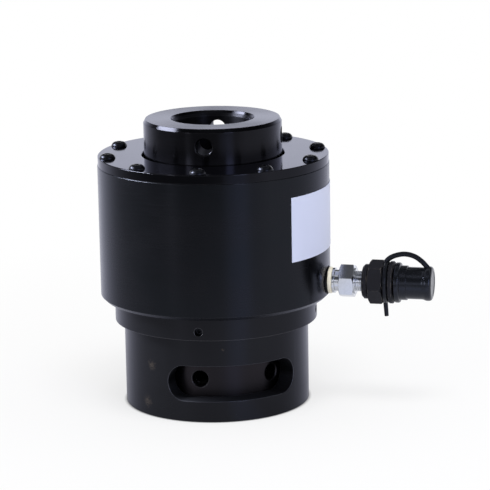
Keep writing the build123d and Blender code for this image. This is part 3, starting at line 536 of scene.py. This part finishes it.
def soft_rubber(name, colour, roughness, sheen):
    """Moulded nitrile rubber: nearly black, with a soft sheen and a fine dusty bloom."""
    material, output = new_material(name)
    place = add(material, "ShaderNodeTexCoord").outputs["Object"]
    bloom = add(material, "ShaderNodeTexNoise", {"Vector": place, "Scale": 1 / (4 * mm),
                                                 "Detail": 4.0}).outputs["Fac"]
    tint = add(material, "ShaderNodeMix", {0: bloom, 6: linear(colour), 7: linear("#121316")},
               data_type="RGBA").outputs[2]
    rough = add(material, "ShaderNodeMath", {0: bloom, 1: 0.16, 2: roughness - 0.08},
                operation="MULTIPLY_ADD").outputs[0]
    rubber = add(material, "ShaderNodeBsdfPrincipled", {
        "Base Color": tint, "Roughness": rough, "Specular IOR Level": sheen,
        "Specular Tint": linear("#D6DDF6")})
    material.node_tree.links.new(rubber.outputs[0], output.inputs[0])
    return material


def strap_curve(bevel):
    """The strap's line as a smooth spline through the route, with or without its thickness."""
    curve = bpy.data.curves.new("tether_strap_line", "CURVE")
    curve.dimensions = "3D"
    spline = curve.splines.new("NURBS")
    spline.points.add(len(strap_route) - 1)
    for point, at in zip(spline.points, strap_route):
        point.co = (*[value * mm for value in at], 1)
    spline.order_u = 3
    spline.use_endpoint_u = True
    spline.resolution_u = 12
    curve.bevel_depth = bevel
    curve.bevel_resolution = 6
    curve.use_fill_caps = True
    holder = bpy.data.objects.new("tether_strap_holder", curve)
    bpy.context.scene.collection.objects.link(holder)
    mesh = bpy.data.meshes.new_from_object(holder.evaluated_get(
        bpy.context.evaluated_depsgraph_get()))
    bpy.data.objects.remove(holder)
    return mesh


tether_rubber = soft_rubber("tether_nitrile_rubber", "#0E0F11", 0.3, 0.28)
strap_line = [vert.co.copy() for vert in strap_curve(0).vertices]
strap_mesh = strap_curve(strap_radius)
strap_mesh.materials.clear()
strap_mesh.materials.append(tether_rubber)
strap_mesh.shade_smooth()
strap = bpy.data.objects.new("tether_strap_tube", strap_mesh)
bpy.context.scene.collection.objects.link(strap)
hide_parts("tether_strap")
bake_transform(strap)


def bar_between(bm, start, end, radius, end_radius):
    """A round bar from one point to another."""
    run = end - start
    place = Matrix.Translation((start + end) / 2) @ run.to_track_quat("Z", "Y").to_matrix().to_4x4()
    bmesh.ops.create_cone(bm, cap_ends=True, segments=32, radius1=radius, radius2=end_radius,
                          depth=run.length, matrix=place)


def moulded_together(name, bm, grain, material):
    """Fuses overlapping forms into one soft skin, as they leave the mould."""
    rough = make_piece(name + "_forms", bm, material)
    fuse = rough.modifiers.new("fuse", "REMESH")
    fuse.mode = "VOXEL"
    fuse.voxel_size = grain
    soften = rough.modifiers.new("soften", "SMOOTH")
    soften.factor = 0.5
    soften.iterations = 6
    mesh = bpy.data.meshes.new_from_object(rough.evaluated_get(
        bpy.context.evaluated_depsgraph_get()))
    bpy.data.objects.remove(rough)
    mesh.name = name
    mesh.shade_smooth()
    piece = bpy.data.objects.new(name, mesh)
    bpy.context.scene.collection.objects.link(piece)
    return piece


ring_forms = bmesh.new()
ring_middle = Vector((ring_distance, 0, port_height + ring_radius))
wire = bmesh.ops.create_circle(ring_forms, segments=28, radius=ring_wire,
                               matrix=Matrix.Translation(ring_middle)
                               @ Matrix.Rotation(pi / 2, 4, "X"))["verts"]
wire_edges = list({edge for vert in wire for edge in vert.link_edges})
bmesh.ops.spin(ring_forms, geom=wire + wire_edges, cent=(0, 0, port_height), axis=(1, 0, 0),
               angle=2 * pi, steps=96, use_merge=True)
strap_start = Vector(strap_route[0]) * mm
strap_run = (Vector(strap_route[1]) * mm - strap_start).normalized()
bar_between(ring_forms, ring_middle, strap_start + strap_run * lug_overlap, lug_root_radius,
            lug_end_radius)
bar_between(ring_forms, tail_start, tail_end, tail_root_radius, tail_radius)
bmesh.ops.recalc_face_normals(ring_forms, faces=ring_forms.faces)
tether_ring = moulded_together("tether_ring_skin", ring_forms, 0.22 * mm, tether_rubber)
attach(tether_ring, "cylinder")
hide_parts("tether_ring")


# Dust cap: the rubber cup pushed over the nipple's nose, with a lip to pull it off by. It is
# glossy from the mould. Its corners in mm, from inside to outside: the distance along the
# port's axis, the radius, and how far each is rounded.
cap_profile = [
    (132.8, 0, 0),
    (132.8, 8.3, 0),
    (115.2, 8.3, 0),
    (115.2, 12.6, 1.1),
    (118.4, 12.6, 1.2),
    (118.7, 10.8, 0.4),
    (122.7, 10.8, 0.25),
    (122.9, 10.0, 0.3),
    (132.7, 10.0, 1.0),
    (134.8, 10.8, 1.0),
    (138.5, 10.8, 2.4),
    (138.5, 7.9, 0.3),
    (138.2, 7.6, 0.3),
    (138.2, 0, 0),
]


def rounded(corners, steps=6):
    """A line in metres through corners in mm, each cut off and rounded over its reach."""
    line = []
    for number, (along, out, reach) in enumerate(corners):
        corner = Vector((along, out))
        if not reach:
            line.append(corner * mm)
            continue
        start = corner + (Vector(corners[number - 1][:2]) - corner).normalized() * reach
        end = corner + (Vector(corners[number + 1][:2]) - corner).normalized() * reach
        for step in range(steps + 1):
            share = step / steps
            line.append(start.lerp(corner, share).lerp(corner.lerp(end, share), share) * mm)
    return line


cap_form = bmesh.new()
cap_line = [cap_form.verts.new((along, 0, port_height + out))
            for along, out in rounded(cap_profile)]
cap_edges = [cap_form.edges.new(pair) for pair in zip(cap_line, cap_line[1:])]
bmesh.ops.spin(cap_form, geom=cap_line + cap_edges, cent=(0, 0, port_height), axis=(1, 0, 0),
               angle=2 * pi, steps=96, use_merge=True)
bmesh.ops.remove_doubles(cap_form, verts=cap_form.verts, dist=0.001 * mm)
bmesh.ops.recalc_face_normals(cap_form, faces=cap_form.faces)
cap_rubber = soft_rubber("glossy_cap_rubber", "#0C0E11", 0.22, 0.42)
dust_cap = make_piece("dust_cap_skin", cap_form, cap_rubber)
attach(dust_cap, "dust_cap")
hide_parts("dust_cap")


# Label: a blank pale film stuck on the drum above the port. It is polyester, so it stays
# satin and flat on the curve.

def satin_film(name, colour):
    """Polyester label film: pale lavender white, satin, and very slightly uneven."""
    material, output = new_material(name)
    place = add(material, "ShaderNodeTexCoord").outputs["Object"]
    uneven = add(material, "ShaderNodeTexNoise", {"Vector": place, "Scale": 1 / (25 * mm),
                                                  "Detail": 2.0}).outputs["Fac"]
    tint = add(material, "ShaderNodeMix", {0: uneven, 6: linear(colour), 7: linear("#CDD2EA")},
               data_type="RGBA").outputs[2]
    film = add(material, "ShaderNodeBsdfPrincipled", {
        "Base Color": tint, "Roughness": 0.4, "IOR": 1.45})
    material.node_tree.links.new(film.outputs[0], output.inputs[0])
    return material


finish_node("label", satin_film("label_film", "#CAD0E8"))


# Studio: a pale floor that runs on into a white room, soft boxes, and the camera where it
# stood for the photograph.

camera_turn = 13.0
unlit_side = round_axis(camera_turn - 32, 1, 0)
window_side = round_axis(camera_turn + 22, 1, 0)
floor_radius = 8
lit_room = 0.7
shade_reach = 60 * mm
open_reach = 450 * mm
lamp_aim_height = 90 * mm


def seen_directly(material):
    """How much a ray comes straight from the lens, and how much from a mirror or a glass."""
    rays = add(material, "ShaderNodeLightPath").outputs
    mirrored = add(material, "ShaderNodeMath", {0: rays["Is Glossy Ray"],
                                                1: rays["Is Transmission Ray"]},
                   operation="MAXIMUM").outputs[0]
    return rays["Is Camera Ray"], mirrored


def pale_table():
    """A white table top. It glows white further out, keeps the object's shadow near by, and
    is painted dark under the foot as shade. In the steel it mirrors darker towards the unlit
    front left and close to the object, with a cool strip of window light to the right of the lens."""
    material, output = new_material("white_table")
    lens, mirrored = seen_directly(material)
    seen = add(material, "ShaderNodeMath", {0: lens, 1: mirrored}, operation="MAXIMUM").outputs[0]
    place = add(material, "ShaderNodeTexCoord").outputs["Object"]
    reach = add(material, "ShaderNodeVectorMath", {0: place}, operation="LENGTH").outputs["Value"]
    clear = add(material, "ShaderNodeMapRange", {0: reach, 1: shade_reach, 2: open_reach,
                                                 3: 0.7, 4: 1.0}).outputs[0]
    painted_shade_under_foot = add(material, "ShaderNodeMapRange", {0: reach, 1: 0.95 * shade_reach,
                                                 2: shade_reach}).outputs[0]
    share = add(material, "ShaderNodeMath", {0: clear, 1: painted_shade_under_foot}, operation="MULTIPLY").outputs[0]
    share = add(material, "ShaderNodeMath", {0: share, 1: seen}, operation="MULTIPLY").outputs[0]
    ahead = add(material, "ShaderNodeVectorMath", {0: place, 1: unlit_side},
                operation="DOT_PRODUCT").outputs["Value"]
    dim = add(material, "ShaderNodeMapRange", {0: ahead, 1: 0.05, 2: 0.75, 3: 1.0, 4: 0.2}
              ).outputs[0]
    heading = add(material, "ShaderNodeVectorMath", {0: place}, operation="NORMALIZE").outputs[0]
    facing = add(material, "ShaderNodeVectorMath", {0: heading, 1: window_side},
                 operation="DOT_PRODUCT").outputs["Value"]
    strip = add(material, "ShaderNodeMapRange", {0: facing, 1: 0.97, 2: 0.995}).outputs[0]
    mirror = add(material, "ShaderNodeMix", {0: strip, 6: linear("#F7F8FF"), 7: linear("#E0E7FF")},
                 data_type="RGBA").outputs[2]
    dim = add(material, "ShaderNodeMath", {0: strip, 1: 0.4, 2: dim}, operation="MULTIPLY_ADD"
              ).outputs[0]
    # In mirrors the table is painted dimmer close to the object, as its shade.
    close = add(material, "ShaderNodeMapRange", {0: reach, 1: 0.08, 2: 0.25, 3: 0.7, 4: 1.0}
                ).outputs[0]
    dim = add(material, "ShaderNodeMath", {0: dim, 1: close}, operation="MULTIPLY").outputs[0]
    glow = add(material, "ShaderNodeMix", {0: mirrored, 2: 1.0, 3: dim}).outputs[0]
    colour = add(material, "ShaderNodeMix", {0: mirrored, 6: linear("#FFFFFF"), 7: mirror},
                 data_type="RGBA").outputs[2]
    # Under the foot the table is painted dark grey, as shade.
    board = add(material, "ShaderNodeMix", {0: painted_shade_under_foot, 6: linear("#2A2A2A"), 7: linear("#F2F2F3")},
                data_type="RGBA").outputs[2]
    paint = add(material, "ShaderNodeBsdfDiffuse", {"Color": board}).outputs[0]
    light = add(material, "ShaderNodeEmission", {"Color": colour, "Strength": glow}).outputs[0]
    blend = add(material, "ShaderNodeMixShader", {0: share, 1: paint, 2: light})
    material.node_tree.links.new(blend.outputs[0], output.inputs[0])
    return material


floor_mesh = bmesh.new()
bmesh.ops.create_circle(floor_mesh, cap_ends=True, segments=96, radius=floor_radius)
floor = make_piece("studio_floor", floor_mesh, pale_table(), smooth=False)


def white_room():
    """The room round the table. The lens sees it white, and it lights the object evenly. Steel
    mirrors walls that are bright up to a dark ceiling, dimmer at the unlit front left, with a
    pale band of skylight high up."""
    room = bpy.data.worlds.new("white_room")
    room.use_nodes = True
    room.node_tree.nodes.clear()
    lens, mirrored = seen_directly(room)
    aimed = add(room, "ShaderNodeTexCoord").outputs["Generated"]
    height = add(room, "ShaderNodeSeparateXYZ", {0: aimed}).outputs[2]
    wall = add(room, "ShaderNodeMapRange", {0: height, 1: 0.235, 2: 0.34, 3: 1.22, 4: 0.1}
               ).outputs[0]
    ahead = add(room, "ShaderNodeVectorMath", {0: aimed, 1: unlit_side},
                operation="DOT_PRODUCT").outputs["Value"]
    dim = add(room, "ShaderNodeMapRange", {0: ahead, 1: 0.3, 2: 0.8, 3: 1.0, 4: 0.75}).outputs[0]
    wall = add(room, "ShaderNodeMath", {0: wall, 1: dim}, operation="MULTIPLY").outputs[0]
    above = add(room, "ShaderNodeMapRange", {0: height, 1: 0.74, 2: 0.82, 3: 0.0, 4: 0.6}).outputs[0]
    below = add(room, "ShaderNodeMapRange", {0: height, 1: 0.88, 2: 0.94, 3: 1.0, 4: 0.0}).outputs[0]
    walls = add(room, "ShaderNodeMath", {0: above, 1: below, 2: wall}, operation="MULTIPLY_ADD"
                ).outputs[0]
    level = add(room, "ShaderNodeMix", {0: mirrored, 2: lit_room, 3: walls}).outputs[0]
    level = add(room, "ShaderNodeMix", {0: lens, 2: level, 3: 1.0}).outputs[0]
    cast = add(room, "ShaderNodeMix", {0: mirrored, 6: linear("#FFFFFF"), 7: linear("#F5F7FF")},
               data_type="RGBA").outputs[2]
    glow = add(room, "ShaderNodeBackground", {"Color": cast, "Strength": level})
    add(room, "ShaderNodeOutputWorld", {0: glow.outputs[0]})
    return room


bpy.context.scene.world = white_room()


def soft_box(name, azimuth, elevation, distance, width, height, power, colour):
    """A soft box that looks at the middle of the object."""
    middle = Vector((0, 0, lamp_aim_height))
    out = round_axis(azimuth, cos(radians(elevation)), sin(radians(elevation)))
    lamp = bpy.data.lights.new(name, "AREA")
    lamp.shape = "RECTANGLE"
    lamp.size, lamp.size_y = width, height
    lamp.energy = power
    lamp.color = linear(colour)[:3]
    box = bpy.data.objects.new(name, lamp)
    box.location = middle + out * distance
    box.rotation_euler = (-out).to_track_quat("-Z", "Y").to_euler()
    bpy.context.scene.collection.objects.link(box)
    return box


ceiling_box = soft_box("ceiling_soft_box", camera_turn + 10, 70, 1.5, 0.7, 0.5, 10, "#FFFFFF")
ceiling_box.visible_glossy = False
soft_box("right_soft_box", camera_turn + 28, 18, 1.8, 0.35, 0.9, 4, "#C8D4FF")
glint_box = soft_box("left_soft_box", camera_turn - 92, 36, 1.5, 0.9, 0.42, 62, "#EEF3FF")
glint_box.visible_diffuse = False
window_box = soft_box("front_left_window", camera_turn - 40, 12, 1.5, 0.2, 0.5, 1.4, "#F4F6FF")
window_box.visible_diffuse = False

# The camera, fitted to the photograph: a long lens a metre and a half away, a little above.
camera_side = 18.924 * mm
camera_aim_height = 98.507 * mm
camera_distance = 1526.93 * mm
camera_pitch = radians(13.014)
camera_roll = -0.0173
turn = Matrix.Rotation(radians(camera_turn), 3, "Z")
aim = turn @ Vector((camera_side, 0, camera_aim_height))
back = turn @ Vector((0, -cos(camera_pitch), sin(camera_pitch)))
photo_camera = bpy.data.objects.new("photo_camera", bpy.data.cameras.new("photo_camera"))
photo_camera.data.sensor_width = 36
photo_camera.data.lens = 178.0
photo_camera.location = aim + back * camera_distance
level_look = (-back).to_track_quat("-Z", "Y")
photo_camera.rotation_euler = (
    level_look.to_matrix() @ Matrix.Rotation(camera_roll, 3, "Z")).to_euler()
bpy.context.scene.collection.objects.link(photo_camera)
bpy.context.scene.camera = photo_camera
bpy.context.scene.view_settings.view_transform = "Standard"
